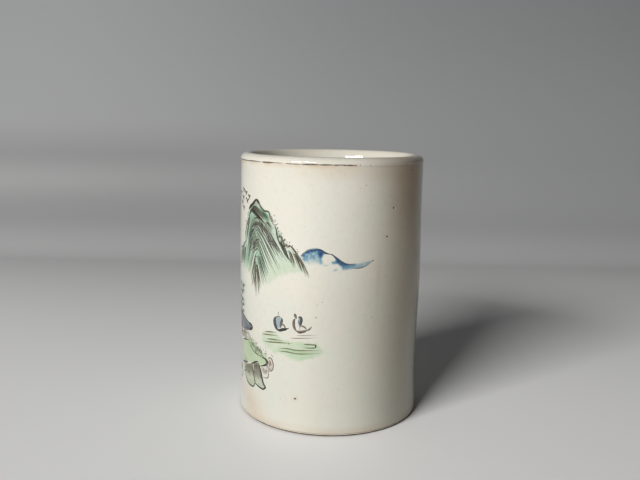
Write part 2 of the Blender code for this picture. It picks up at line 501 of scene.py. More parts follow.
def coat_radius(angle, height):
    """The pot's outer radius at a place on the wall or on the lip, its relief included."""
    wall = outer_relief(angle, np.interp(height, *outer_side("outer_glaze", WALL_SPACING)), height)[0]
    lip = lip_relief(angle, np.interp(height, *outer_side("lip_glaze", LIP_SPACING)), height)[0]
    return np.where(height > LIP_LOW, lip, wall)


def smooth_route(points, spacing=0.35):
    """Points along a smooth curve through the given ones, at most the spacing apart (mm)."""
    points = np.asarray(points, float)
    ends = np.vstack([2.0 * points[0] - points[1], points, 2.0 * points[-1] - points[-2]])
    route = []
    for before, here, there, after in zip(ends, ends[1:], ends[2:], ends[3:]):
        steps = int(np.linalg.norm(there - here) / spacing) + 2
        share = (np.arange(steps) / steps)[:, None]
        route.append(here + 0.5 * (there - before) * share
                     + 0.5 * (2.0 * before - 5.0 * here + 4.0 * there - after) * share ** 2
                     + 0.5 * (3.0 * here - before - 3.0 * there + after) * share ** 3)
    return np.vstack(route + [points[-1:]])


def brush(points, width, ink, tips=(0.45, 0.10), fade=0.15, part=(0.0, 1.0)):
    """A brush stroke: its middle line, half-widths and colours. fade thins the ink towards the tail."""
    line = smooth_route(points)
    line = line[int(part[0] * (len(line) - 3)):int(part[1] * len(line)) + 2]
    share = np.linspace(0.0, 1.0, len(line))
    press = (tips[0] + (1.0 - tips[0]) * ease(0.0, 0.30, share))
    lift = (tips[1] + (1.0 - tips[1]) * ease(0.0, 0.45, 1.0 - share))
    thin = (fade * share)[:, None]
    colours = np.array(ink) * (1.0 - thin) + np.array(BARE_GLAZE) * thin
    return line, 0.5 * width * press * lift, colours


def dab(along, up, width, ink, height=None, lean=0.0):
    """A single touch of the brush: an oval, longer along its lean."""
    reach = 0.5 * (height or width) * np.array([math.sin(lean), math.cos(lean)])
    middle = np.array([along, up])
    return brush([middle + reach, middle, middle - reach], width, ink, tips=(0.5, 0.4), fade=0.0)


def fan(guides, count, width, ink, seed, fade=0.25, stray=0.35, trim=0.3):
    """Strokes laid side by side between neighbouring guide strokes, unevenly, and none of them whole."""
    chance = np.random.default_rng(seed)
    guides = np.array(guides, float)
    strokes = []
    for place_in_row in range(count):
        spot = (place_in_row + chance.uniform(0.1, 0.9)) / count * (len(guides) - 1.0)
        first = min(int(spot), len(guides) - 2)
        route = guides[first] + (guides[first + 1] - guides[first]) * (spot - first)
        route = route + chance.normal(0.0, stray, 2) + chance.normal(0.0, 0.25 * stray, route.shape)
        part = (chance.uniform(0.0, 1.4 * trim), 1.0 - chance.uniform(0.0, 1.6 * trim))
        shade = np.array(ink) * chance.uniform(0.7, 1.35)
        strokes.append(brush(route, width * chance.uniform(0.6, 1.35), shade, (0.7, 0.3), fade, part))
    return strokes


def specks(line, count, spread, size, ink, seed, side=1.0):
    """Moss dots strewn beside a line, to its right where side is 1."""
    chance = np.random.default_rng(seed)
    route = smooth_route(line, 0.2)
    slope = np.gradient(route, axis=0)
    slope /= np.linalg.norm(slope, axis=1)[:, None]
    dots = []
    for _ in range(count):
        spot = chance.integers(len(route))
        away = side * abs(chance.normal(0.0, spread))
        along, up = route[spot] + away * np.array([-slope[spot, 1], slope[spot, 0]])
        dots.append(dab(along, up, size * chance.uniform(0.6, 1.3), ink, size * chance.uniform(0.7, 1.5),
                        chance.uniform(0.6, 1.4)))
    return dots


def draw(name, strokes, material):
    """One piece of thin raised enamel from many strokes, each closed and sunk a little in the glaze."""
    rows, faces, colours = [], [], []
    for line, half, inks in strokes:
        slope = np.gradient(line, axis=0)
        slope /= np.maximum(np.linalg.norm(slope, axis=1), TINY)[:, None]
        side = np.stack([-slope[:, 1], slope[:, 0]], -1) * half[:, None]
        crown = RIM_RISE + CROWN_RISE * np.minimum(half / WIDE_HALF, 1.0)
        start, last = len(rows), len(line) - 1
        for index in range(1, last):
            middle, reach = line[index], side[index]
            rows += [(*(middle + reach), RIM_RISE), (*middle, crown[index]),
                     (*(middle - reach), RIM_RISE), (*middle, -SUNK)]
            colours += [inks[index]] * 4
        tips = len(rows)
        rows += [(*line[0], 0.0), (*line[last], 0.0)]
        colours += [inks[0], inks[last]]
        for index in range(last - 2):
            for corner in range(4):
                low, beside = start + 4 * index + corner, start + 4 * index + (corner + 1) % 4
                faces.append((low, beside, beside + 4, low + 4))
        for corner in range(4):
            first, final = start + corner, start + 4 * (last - 2) + corner
            faces.append((tips, start + (corner + 1) % 4, first))
            faces.append((tips + 1, final, start + 4 * (last - 2) + (corner + 1) % 4))
    rows = np.array(rows)
    angle = rows[:, 0] * MM / POT_RADIUS
    height = POT_TOP - (POT_TOP - rows[:, 1] * MM) * PAINT_SHORTENING
    radius = coat_radius(angle, height) + rows[:, 2]
    points = np.stack([radius * np.sin(angle), -radius * np.cos(angle), height], -1)
    piece = mesh_object(name, points, faces)
    ink = piece.data.color_attributes.new("ink", "FLOAT_COLOR", "POINT")
    ink.data.foreach_set("color", np.column_stack([colours, np.ones(len(colours))]).ravel())
    piece.data.materials.append(material)
    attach(piece, "root")
    return piece


def depth_inside(along, up, outline):
    """How far each point lies inside a closed outline, in millimetres; below 0 it is outside."""
    outline = np.asarray(outline, float)
    nearest = np.full(along.shape, 1e9)
    crossings = np.zeros(along.shape, bool)
    for start, end in zip(outline, np.roll(outline, -1, axis=0)):
        run, rise = end - start
        right, above = along - start[0], up - start[1]
        share = np.clip((right * run + above * rise) / (run * run + rise * rise), 0.0, 1.0)
        nearest = np.minimum(nearest, np.hypot(right - share * run, above - share * rise))
        if rise:
            beyond = along < start[0] + above * run / rise
            crossings ^= ((start[1] > up) != (end[1] > up)) & beyond
    return np.where(crossings, nearest, -nearest)


class Washes:
    """Thin colours in the glaze: each point of the coat keeps how much of each colour gets through."""

    def __init__(self, coat):
        self.coat = coat.data
        places = np.empty(len(self.coat.vertices) * 3, np.float32)
        self.coat.vertices.foreach_get("co", places)
        x, y, z = places.reshape(-1, 3).T.astype(float)
        self.along = np.arctan2(x, -y) * POT_RADIUS / MM
        self.up = (POT_TOP - (POT_TOP - z) / PAINT_SHORTENING) / MM
        self.through = np.ones((len(x), 3))

    def pool(self, outline, soft, ragged=0.4, seed=0):
        """1 inside an outline and 0 outside, with a soft, slightly ragged edge."""
        along = self.along + noise(self.along, self.up, 1.7, seed) * ragged
        up = self.up + noise(self.along, self.up, 1.3, seed + 1) * ragged
        return ease(-soft, soft, depth_inside(along, up, outline))

    def spot(self, along, up, width, height, lean=0.0):
        """1 at a place, and fading out over an oval that leans by an angle in degrees."""
        turn = math.radians(lean)
        right, above = self.along - along, self.up - up
        across = (right * math.cos(turn) + above * math.sin(turn)) / width
        climb = (above * math.cos(turn) - right * math.sin(turn)) / height
        return np.exp(-(across * across + climb * climb))

    def below(self, line, reach):
        """1 right below a line of points, fading with depth and beyond its ends; 0 above it."""
        route = smooth_route(line, 0.3)
        depth = np.interp(self.along, route[:, 0], route[:, 1]) - self.up
        ends = ease(route[0, 0] - 0.5, route[0, 0] + 1.0, self.along)
        ends *= ease(-route[-1, 0] - 0.5, -route[-1, 0] + 1.0, -self.along)
        return ease(-0.25, 0.25, depth) * np.exp(-np.maximum(depth, 0.0) / reach) * ends

    def stain(self, strength, tint):
        """Lay a wash: strength 1 lets the tint through, 2 lets it through twice, and 0 is bare."""
        self.through *= np.power(np.array(tint), strength[:, None])

    def blots(self, tint, ovals, within=1.0):
        """Lay soft ovals of a tint, from (strength, along, up, width, height, lean) rows."""
        for strength, *oval in ovals:
            self.stain(within * self.spot(*oval) * strength, tint)

    def dry(self):
        """Store the washes on the coat for its material to read."""
        colours = np.column_stack([self.through, np.ones(len(self.through))])
        store = self.coat.color_attributes.new("wash", "FLOAT_COLOR", "POINT")
        store.data.foreach_set("color", colours.astype(np.float32).ravel())


# ---------------------------------------------------------------- the landscape

PEAK_LEFT = [(-46.0, 99.6), (-44.4, 101.2), (-42.2, 102.5), (-40.6, 104.0), (-39.3, 104.9)]
PEAK_RIGHT = [(-39.4, 104.9), (-37.8, 103.8), (-36.3, 102.1), (-33.5, 100.3), (-31.6, 100.2), (-30.4, 99.7),
              (-29.6, 97.7), (-28.2, 95.5), (-26.6, 93.9)]
SLOPE_UPPER = [(-26.8, 94.2), (-25.9, 92.0), (-25.6, 90.0), (-24.6, 87.6), (-22.9, 84.6), (-21.4, 81.8)]
SLOPE_MIDDLE = [(-25.0, 89.3), (-23.6, 89.8), (-22.7, 88.0), (-21.5, 86.2), (-19.8, 85.2)]
SLOPE_LOWER = [(-20.2, 85.2), (-18.7, 85.9), (-17.3, 84.8), (-15.6, 82.6), (-13.6, 80.0), (-11.6, 76.8),
               (-9.7, 73.4)]
NEAR_RIDGE = [(-46.4, 95.0), (-45.2, 97.2), (-44.2, 98.9), (-42.9, 99.5), (-40.8, 98.8), (-38.0, 97.4),
              (-35.2, 96.0), (-33.0, 94.5), (-30.6, 91.8), (-28.4, 88.9)]
LEFT_EDGE = [(-45.0, 97.4), (-46.0, 95.2), (-47.4, 92.9), (-48.8, 90.9), (-49.4, 87.6), (-50.0, 84.6)]
LEFT_SHOULDER = [(-48.6, 84.9), (-51.0, 83.0), (-53.4, 81.2), (-56.0, 80.4), (-58.5, 79.4)]

RIGHT_FALL = [[(-39.2, 97.4), (-34.4, 94.0), (-28.6, 88.2), (-20.8, 78.6)],
              [(-38.8, 94.8), (-34.4, 91.6), (-29.0, 85.6), (-21.8, 76.6)],
              [(-38.6, 91.4), (-34.6, 88.0), (-30.0, 82.0), (-24.2, 73.8)],
              [(-38.5, 87.4), (-35.4, 83.8), (-31.8, 77.8), (-27.6, 70.6)],
              [(-38.5, 83.0), (-36.2, 79.6), (-33.6, 74.0), (-31.0, 68.2)],
              [(-38.5, 78.2), (-37.0, 74.4), (-35.4, 69.4), (-33.6, 64.4)],
              [(-38.4, 72.6), (-37.8, 68.6), (-37.2, 64.8), (-36.6, 61.2)]]
LEFT_FALL = [[(-40.0, 97.4), (-43.4, 94.0), (-45.8, 88.8), (-47.6, 82.4)],
             [(-39.6, 94.8), (-42.8, 91.4), (-45.4, 86.2), (-47.8, 79.0)],
             [(-39.2, 91.4), (-42.2, 88.0), (-44.8, 82.2), (-47.6, 74.8)],
             [(-39.0, 87.4), (-41.4, 83.8), (-44.0, 77.8), (-46.8, 70.6)],
             [(-38.9, 83.0), (-40.8, 79.4), (-42.8, 74.0), (-45.2, 67.6)],
             [(-38.8, 78.2), (-40.0, 74.4), (-41.2, 69.6), (-42.8, 65.0)],
             [(-38.6, 72.6), (-39.0, 68.6), (-39.4, 64.8), (-39.8, 61.4)]]
RIDGE_FALL = [[(-38.0, 96.6), (-34.6, 92.6), (-31.0, 87.0), (-27.0, 80.6)],
              [(-35.0, 95.6), (-31.6, 91.0), (-27.8, 85.4), (-23.0, 79.0)],
              [(-32.4, 94.0), (-29.2, 89.8), (-25.2, 84.4), (-20.4, 77.8)],
              [(-29.8, 92.0), (-27.2, 88.6), (-23.4, 83.4), (-18.4, 77.4)]]
SLOPE_FALL = [[(-25.7, 90.5), (-24.4, 87.0), (-22.2, 83.0), (-19.6, 78.6)],
              [(-24.4, 89.3), (-22.6, 86.0), (-20.6, 82.0), (-17.6, 77.6)],
              [(-22.6, 87.8), (-21.0, 84.4), (-19.2, 80.4), (-16.4, 76.6)]]
FOOTHILL_FALL = [[(-19.8, 85.3), (-18.9, 82.5), (-18.0, 79.5), (-16.8, 76.6)],
                 [(-18.7, 85.4), (-17.2, 82.4), (-15.6, 79.0), (-14.0, 75.6)],
                 [(-17.2, 84.4), (-15.2, 81.4), (-13.0, 77.4), (-11.2, 72.8)],
                 [(-15.4, 82.4), (-13.2, 79.4), (-11.2, 75.8), (-9.6, 71.8)]]
CREST_HATCH = [[(-42.6, 101.5), (-39.6, 101.6), (-36.0, 99.8), (-33.4, 97.2)],
               [(-43.6, 100.2), (-40.0, 99.9), (-36.6, 98.1), (-33.6, 95.8)]]
UPPER_HATCH = [[(-33.6, 97.4), (-31.6, 96.2), (-29.8, 94.9), (-28.0, 93.4)],
               [(-33.0, 95.2), (-30.6, 93.2), (-28.6, 91.2), (-26.8, 89.2)]]
SHOULDER_FALL = [[(-47.8, 84.0), (-49.2, 79.4), (-50.0, 74.4), (-51.0, 69.4)],
                 [(-50.0, 83.6), (-51.4, 80.0), (-52.4, 76.0), (-53.4, 71.0)],
                 [(-52.6, 82.0), (-54.0, 78.6), (-55.0, 74.6), (-56.0, 70.4)],
                 [(-55.4, 80.6), (-57.0, 77.0), (-58.0, 73.2), (-59.2, 69.4)]]
COLUMN_FALL = [[(-39.6, 78.0), (-40.6, 73.0), (-42.0, 68.0), (-43.0, 64.8)],
               [(-38.9, 77.0), (-39.0, 71.0), (-39.0, 65.0), (-38.9, 58.8)],
               [(-38.4, 78.0), (-37.2, 72.0), (-35.4, 66.4), (-33.8, 61.8)]]
EDGE_FALL = [[(-44.2, 97.8), (-45.6, 93.6), (-46.6, 89.0), (-47.6, 84.4)],
             [(-45.6, 95.4), (-47.0, 91.6), (-48.2, 87.6), (-49.0, 83.0)]]
MOUNTAIN = [(-46.2, 99.8), (-42.2, 102.6), (-39.3, 105.0), (-36.3, 102.2), (-33.4, 100.5), (-30.4, 99.9),
            (-28.2, 95.8), (-25.6, 93.2), (-22.6, 90.0), (-20.2, 86.6), (-17.8, 85.4), (-14.2, 81.4),
            (-11.2, 77.2), (-9.8, 73.2), (-13.0, 74.4), (-17.4, 74.8), (-22.0, 72.8), (-26.2, 70.0),
            (-30.0, 67.4), (-33.6, 67.0), (-36.4, 64.2), (-38.4, 62.0), (-40.6, 65.0), (-43.6, 69.0),
            (-47.4, 71.4), (-51.0, 71.2), (-55.4, 72.4), (-60.0, 74.0), (-60.0, 79.4), (-54.0, 81.4),
            (-50.4, 84.4), (-49.2, 89.0), (-47.4, 93.2)]


def paint_mountain(washes):
    """The tall peak: teal and pale green washes under fans of hemp-fibre strokes."""
    body = washes.pool(MOUNTAIN, 0.9, 0.8, 61)
    streaks = 1.0 + 0.55 * noise(washes.along + 0.55 * washes.up, washes.up * 0.12, 1.1, 63)
    upward = ease(70.0, 98.0, washes.up)
    leftward = ease(24.0, 46.0, -washes.along)
    teal = (0.10 + 0.46 * upward + 0.14 * leftward * ease(66.0, 78.0, washes.up)) * streaks
    washes.stain(body * teal, TEAL_WASH)
    washes.stain(body * 0.40 * (1.0 - upward) * ease(62.0, 74.0, washes.up), LEAF_WASH)
    washes.blots(TEAL_WASH, ((1.7, -33.0, 98.3, 2.9, 0.9, -35.0), (0.9, -47.5, 77.5, 2.8, 3.6),
                             (0.9, -36.2, 77.6, 1.6, 4.0, 22.0)))
    washes.blots(SHADE_WASH, ((0.45, -39.2, 103.4, 3.4, 1.2), (1.30, -38.5, 99.8, 4.4, 1.5, -20.0),
                              (1.10, -33.0, 98.2, 2.6, 1.2, -35.0), (0.80, -40.0, 94.2, 4.6, 2.8),
                              (1.05, -38.7, 85.0, 2.4, 3.0), (0.60, -30.4, 91.8, 3.0, 0.9, -50.0),
                              (0.30, -39.5, 89.4, 4.5, 1.4)), body)
    strokes = [brush(PEAK_LEFT, 1.5, INK, (0.7, 0.6), 0.0), brush(PEAK_RIGHT, 0.8, OLIVE_INK, (1.0, 0.5)),
               brush(PEAK_RIGHT[:3], 1.3, INK, (0.9, 0.3), 0.0),
               brush(PEAK_RIGHT[4:8], 0.75, RUST_INK, (0.4, 0.4)),
               brush(SLOPE_UPPER, 0.75, INK, (0.7, 0.2)), brush(SLOPE_MIDDLE, 1.0, BROWN_INK, (0.5, 0.4)),
               brush(SLOPE_LOWER, 0.85, BROWN_INK, (0.6, 0.2)),
               brush(SLOPE_LOWER[1:5], 0.6, INK, (0.4, 0.1)),
               brush(NEAR_RIDGE[1:8], 1.7, INK, (0.5, 0.3), 0.0),
               brush(NEAR_RIDGE, 0.6, OLIVE_INK, (0.5, 0.3)),
               brush(LEFT_EDGE, 0.7, INK, (0.6, 0.3)), brush(LEFT_SHOULDER, 0.9, SLATE_INK, (0.3, 0.3))]
    for guides, count, width, ink, seed in (
            (RIGHT_FALL, 19, 0.46, HEMP_INK, 71), (RIGHT_FALL[:4], 4, 0.42, INK, 72),
            (LEFT_FALL, 17, 0.44, HEMP_INK, 73), (LEFT_FALL[:4], 5, 0.42, INK, 74),
            (RIGHT_FALL[4:], 3, 0.34, OLIVE_INK, 75), (LEFT_FALL[4:], 3, 0.34, OLIVE_INK, 76),
            (RIDGE_FALL, 7, 0.46, HEMP_INK, 77), (SLOPE_FALL, 8, 0.44, INK, 78),
            (FOOTHILL_FALL, 8, 0.36, EARTH_INK, 79), (FOOTHILL_FALL, 6, 0.36, OLIVE_INK, 85),
            (CREST_HATCH, 12, 0.60, OLIVE_INK, 80), (UPPER_HATCH, 6, 0.34, OLIVE_INK, 81),
            (SHOULDER_FALL, 12, 0.50, OLIVE_INK, 82), (EDGE_FALL, 7, 0.42, OLIVE_INK, 83),
            (COLUMN_FALL, 10, 0.40, EARTH_INK, 84)):
        strokes += fan(guides, count, width, ink, seed, 0.12, 0.18, 0.2)
    return strokes + mountain_arches(), mountain_moss()


def mountain_arches():
    """Dark folds that arch over the peak's middle column."""
    column = -38.8
    strokes = []
    for level, reach, drop, count in ((95.2, 5.2, 4.0, 5), (93.4, 6.2, 6.0, 5), (87.4, 3.4, 3.8, 5),
                                      (85.6, 3.8, 5.2, 7), (79.4, 2.6, 4.8, 2)):
        arch = [(column + share * reach, level - fall * drop)
                for share, fall in ((-1.0, 1.0), (-0.5, 0.3), (0.0, 0.0), (0.5, 0.3), (1.0, 1.0))]
        strokes += fan([arch, np.array(arch) - [0.0, 1.9]], count, 0.50, INK, int(level), stray=0.7)
    return strokes


def mountain_moss():
    """Moss dots along the peak's edges."""
    dots = specks(SLOPE_UPPER, 26, 1.7, 0.5, OLIVE_INK, 91) + specks(PEAK_RIGHT[6:], 16, 1.8, 0.5, INK, 92)
    dots += specks(SLOPE_MIDDLE, 16, 1.4, 0.5, BROWN_INK, 93) + specks(SLOPE_LOWER[:4], 9, 1.8, 0.5, INK, 94)
    dots += specks(LEFT_EDGE, 28, 0.9, 0.6, INK, 95, -1.0)
    return dots


HILL_CREST = [(-13.8, 82.0), (-12.0, 83.6), (-10.2, 84.9), (-7.6, 85.5), (-5.0, 85.1), (-2.6, 83.8),
              (0.2, 83.2), (1.8, 81.8), (3.6, 80.4), (5.4, 79.3), (7.8, 78.8), (10.8, 78.9)]
HILL_BODY = [(-13.8, 82.0), (-12.0, 83.7), (-10.2, 85.1), (-7.6, 85.7), (-5.0, 85.3), (-2.6, 83.9),
             (-4.0, 82.4), (-4.4, 80.8), (-3.4, 79.2), (-2.0, 78.2), (-5.6, 78.6), (-9.0, 77.6),
             (-11.8, 79.4)]
HILL_FOOT = [(0.6, 83.0), (2.2, 81.8), (3.8, 80.6), (5.6, 79.6), (7.8, 79.1), (11.2, 79.1), (14.4, 79.4),
             (18.8, 80.2), (16.8, 79.0), (15.0, 77.9), (12.6, 77.1), (9.0, 76.9), (6.6, 76.8), (5.0, 76.3),
             (4.4, 77.6), (3.2, 78.8), (2.2, 79.2), (0.8, 78.9), (0.1, 79.5), (0.3, 80.2), (1.6, 80.2),
             (1.7, 81.4)]
HILL_TAIL = [(8.6, 77.2), (11.6, 77.1), (13.6, 77.4), (15.4, 78.1), (17.0, 79.0), (18.8, 80.1)]


def paint_blue_hill(washes):
    """The far hill: cobalt washed down from its crest, with an unpainted cloud before it."""
    body = washes.pool(HILL_BODY, 0.5, 0.3, 101)
    mottle = (1.0 + 0.45 * noise(washes.along, washes.up, 1.1, 103)
              + 0.45 * noise(washes.along, washes.up * 1.6, 0.55, 104))
    washes.stain(body * 0.34 * mottle ** 2 * ease(77.0, 82.0, washes.up), BLUE_WASH)
    washes.stain(body * washes.below(HILL_CREST, 1.5) * 3.0 * mottle ** 2, BLUE_WASH)
    washes.stain(body * washes.below(HILL_CREST[1:7], 0.9) * 1.5, BLUE_WASH)
    washes.blots(BLUE_WASH, ((1.5, -4.9, 82.6, 1.1, 2.2, 12.0), (0.25, -8.0, 80.6, 3.0, 1.2, 10.0)), body)
    foot = washes.pool(HILL_FOOT, 0.25, 0.15, 105)
    washes.stain(foot * (0.55 + 2.0 * washes.spot(3.6, 79.6, 2.6, 1.6, -35.0)) * mottle, BLUE_WASH)
    washes.stain(foot * washes.below(HILL_CREST, 0.9) * 1.3, BLUE_WASH)
    washes.blots(BLUE_WASH, ((0.8, 1.7, 76.4, 0.8, 0.4, 10.0), (0.7, 0.6, 79.6, 0.7, 0.5),
                             (0.4, -2.4, 78.4, 0.8, 0.3), (0.5, -4.9, 79.3, 0.6, 0.5)))
    return [brush(HILL_CREST[:4], 0.34, SLATE_INK, (0.6, 0.2), 0.3),
            brush(HILL_CREST[3:7], 0.8, NAVY_INK, (0.2, 0.3), 0.0),
            dab(0.1, 83.2, 0.9, INK, 0.6, 1.4), brush(HILL_CREST[6:], 0.9, NAVY_INK, (0.5, 0.1), 0.1),
            brush(HILL_CREST[7:10], 0.9, NAVY_INK, (0.5, 0.4), 0.0),
            brush(HILL_TAIL, 0.42, SLATE_INK, (0.2, 0.15)), dab(18.6, 80.1, 0.6, PLUM_INK, 1.0, 1.3)]


def paint_boats(washes):
    """Two small sailing boats, with blue-grey sails."""
    left_sail = [(-26.1, 52.2), (-25.0, 53.0), (-23.4, 52.8), (-23.2, 50.6), (-24.2, 47.8), (-25.6, 47.8),
                 (-26.1, 49.6)]
    right_sail = [(-14.4, 53.8), (-13.4, 53.8), (-13.1, 52.4), (-13.6, 50.2), (-14.4, 50.2), (-14.8, 52.0)]
    for sail in (left_sail, right_sail):
        washes.stain(washes.pool(sail, 0.35, 0.1) * 0.85, (0.40, 0.50, 0.62))
    hull = (0.120, 0.070, 0.055)
    rows = (  # the left boat
            ([(-25.8, 52.9), (-26.6, 51.8), (-26.7, 50.2), (-26.2, 48.4), (-25.3, 47.1), (-24.2, 46.8)],
             1.5, SLATE_INK, (0.4, 0.6), 0.0),
            ([(-26.2, 52.4), (-25.2, 53.1), (-24.0, 53.2), (-22.9, 52.7)], 0.58, PLUM_INK, (0.5, 0.5)),
            ([(-22.9, 52.9), (-22.7, 51.6), (-23.2, 49.8), (-23.6, 48.0)], 1.25, SLATE_INK, (0.4, 0.6)),
            ([(-25.4, 47.1), (-24.0, 46.8), (-22.4, 47.4), (-20.6, 47.9), (-18.9, 48.7)],
             1.35, INK, (0.6, 0.2), 0.0),
            ([(-22.9, 49.7), (-22.0, 49.8), (-21.2, 49.0), (-20.7, 47.5)], 0.75, BROWN_INK, (0.5, 0.5)),
            ([(-24.7, 55.4), (-24.5, 54.6), (-24.6, 53.8)], 0.38, PLUM_INK, (0.3, 0.3)),
            # the right boat
            ([(-16.4, 55.8), (-15.9, 54.6), (-15.5, 53.2)], 1.2, BROWN_INK, (0.3, 0.4)),
            ([(-16.2, 53.4), (-16.7, 51.8), (-16.6, 49.8), (-15.9, 48.3), (-14.8, 47.5)],
             1.3, BROWN_INK, (0.6, 0.4)),
            ([(-14.6, 53.9), (-13.7, 54.3), (-13.1, 53.4), (-13.3, 51.6), (-13.6, 50.2)],
             1.3, SLATE_INK, (0.4, 0.6), 0.0),
            ([(-14.4, 53.0), (-14.1, 51.6), (-13.7, 50.3), (-13.9, 48.2)], 0.43, SLATE_INK, (0.4, 0.3)),
            ([(-15.4, 47.8), (-13.9, 47.4), (-12.0, 47.9), (-10.6, 48.4)], 1.3, hull, (0.5, 0.5), 0.0),
            ([(-10.9, 48.4), (-9.6, 48.9), (-8.8, 49.8), (-8.3, 50.6)], 0.7, BROWN_INK, (0.7, 0.4)),
            ([(-13.4, 50.2), (-12.2, 50.2), (-11.2, 49.6), (-10.6, 48.8)], 0.75, BROWN_INK, (0.5, 0.5)),
            ([(-11.2, 48.4), (-11.3, 47.4)], 0.58, INK, (0.6, 0.5), 0.0))
    return [brush(*row) for row in rows]


SHALLOWS = [(-35.6, 41.4), (-33.8, 44.4), (-29.0, 45.2), (-26.0, 44.8), (-22.4, 42.6), (-17.0, 42.4),
            (-12.0, 42.8), (-6.0, 42.6), (-4.0, 41.2), (-2.6, 39.6), (-4.0, 38.0), (-5.4, 36.8),
            (-9.0, 35.2), (-14.0, 33.9), (-18.6, 33.8), (-20.4, 35.4), (-24.6, 36.2), (-27.0, 35.6),
            (-30.0, 36.8), (-33.0, 37.4), (-34.6, 39.2)]


def paint_water(washes):
    """Ripples: ruled olive and plum lines over a pale green wash."""
    shallows = washes.pool(SHALLOWS, 0.45, 0.5, 111)
    body = 0.55 + 0.25 * noise(washes.along, washes.up * 2.0, 3.0, 113)
    washes.stain(shallows * body, LEAF_WASH)
    washes.blots(LEAF_WASH, ((0.55, -13.0, 36.4, 6.5, 2.0, 4.0), (0.45, -11.0, 41.4, 5.5, 1.2)), shallows)
    washes.stain(shallows * washes.spot(-26.5, 40.9, 5.5, 0.6, 6.0) * 0.5, GRASS_WASH)
    washes.stain(washes.spot(-12.0, 38.3, 7.5, 0.5, 3.0) * 0.7, GRASS_WASH)
    ruled = (0.160, 0.155, 0.065)
    hooked = (0.12, 0.14, 0.07)
    olive = [[(-33.4, 44.3), (-30.0, 45.0), (-25.8, 45.5)], [(-35.2, 42.9), (-30.0, 43.6), (-25.2, 44.1)],
             [(-32.2, 41.2), (-28.0, 41.8), (-22.6, 42.2)],
             [(-34.0, 39.6), (-29.0, 40.3), (-24.0, 41.0), (-17.2, 41.7)],
             [(-24.8, 38.2), (-20.0, 38.8), (-15.8, 38.7), (-10.0, 39.2), (-3.8, 39.6)],
             [(-25.4, 36.8), (-20.0, 37.3), (-15.4, 37.1), (-10.0, 37.6), (-4.4, 38.2)]]
    strokes = [brush(line, 0.58, ruled, (0.2, 0.2), 0.1) for line in olive]
    strokes += [brush(np.array(line[:3]) + [0.8, 0.1], 0.36, OLIVE_INK, (0.2, 0.1), 0.2) for line in olive]
    strokes += [brush([(-12.0, 41.9), (-9.0, 42.1), (-6.3, 42.0)], 0.62, hooked, (0.4, 0.9)),
                brush([(-6.3, 42.2), (-6.5, 40.6)], 0.69, OLIVE_INK, (0.9, 0.7), 0.0),
                brush([(-6.5, 40.7), (-9.0, 40.4), (-12.2, 40.4)], 0.50, hooked, (0.9, 0.3)),
                brush([(-15.6, 45.6), (-11.0, 46.1), (-5.6, 46.8)], 0.38, PLUM_INK, (0.3, 0.2), 0.5),
                brush([(-18.6, 44.0), (-14.0, 44.5), (-5.6, 45.5)], 0.43, PLUM_INK, (0.3, 0.2), 0.4),
                dab(-19.2, 41.2, 0.5, OLIVE_INK, 0.6, 0.6)]
    return strokes


BANK = [(-62.0, 34.0), (-54.0, 35.0), (-48.6, 36.6), (-45.4, 38.2), (-42.0, 37.6), (-38.6, 35.8),
        (-35.0, 34.2), (-31.0, 31.8), (-31.2, 29.8), (-33.6, 27.9), (-36.4, 27.6), (-38.6, 28.8),
        (-42.0, 27.6), (-46.0, 26.0), (-50.0, 25.6), (-55.0, 24.6), (-62.0, 24.0)]
BANK_SLOPE = [(-47.0, 37.0), (-45.8, 35.0), (-43.4, 33.4), (-40.4, 32.2), (-37.4, 31.7), (-34.4, 31.6)]
BANK_LIP = [(-35.4, 31.5), (-33.2, 31.3), (-31.6, 30.3), (-31.9, 29.0), (-33.6, 27.9), (-35.0, 27.4),
            (-37.0, 26.8)]
BIG_ROCK = [(-38.0, 28.2), (-37.0, 26.0), (-36.0, 23.6), (-35.2, 21.0), (-34.2, 18.8), (-32.8, 17.4),
            (-34.4, 16.1), (-37.0, 16.3), (-39.2, 16.8), (-41.2, 17.3)]
LEFT_ROCK = [(-43.2, 26.0), (-42.8, 23.4), (-42.0, 20.6), (-41.0, 18.2), (-41.3, 16.4), (-42.4, 15.1),
             (-44.6, 14.8), (-47.4, 15.1), (-50.2, 16.4), (-52.6, 18.6), (-54.0, 21.0)]
ROCK_FALL = [[(-42.2, 26.6), (-42.0, 24.4), (-41.4, 22.0), (-40.6, 19.6)],
             [(-40.0, 27.4), (-39.4, 25.0), (-38.8, 22.4), (-38.2, 19.8)],
             [(-37.8, 27.0), (-37.4, 25.0), (-36.8, 22.8), (-36.2, 20.4)]]
LEFT_ROCK_FALL = [[(-49.6, 24.4), (-49.8, 22.8), (-49.6, 20.8), (-49.0, 19.0)],
                  [(-46.4, 25.0), (-46.6, 23.0), (-46.2, 21.0), (-45.6, 19.2)],
                  [(-44.0, 25.4), (-43.8, 23.4), (-43.4, 21.4), (-42.8, 19.6)]]
SMALL_ROCK = [(-31.2, 26.0), (-30.8, 24.2), (-31.2, 22.6), (-32.6, 22.1), (-34.6, 21.9)]
ROUND_ROCK = [(-31.2, 32.0), (-29.2, 32.5), (-28.1, 30.8), (-27.8, 28.8), (-28.4, 27.0), (-29.8, 26.1),
              (-31.8, 25.9)]


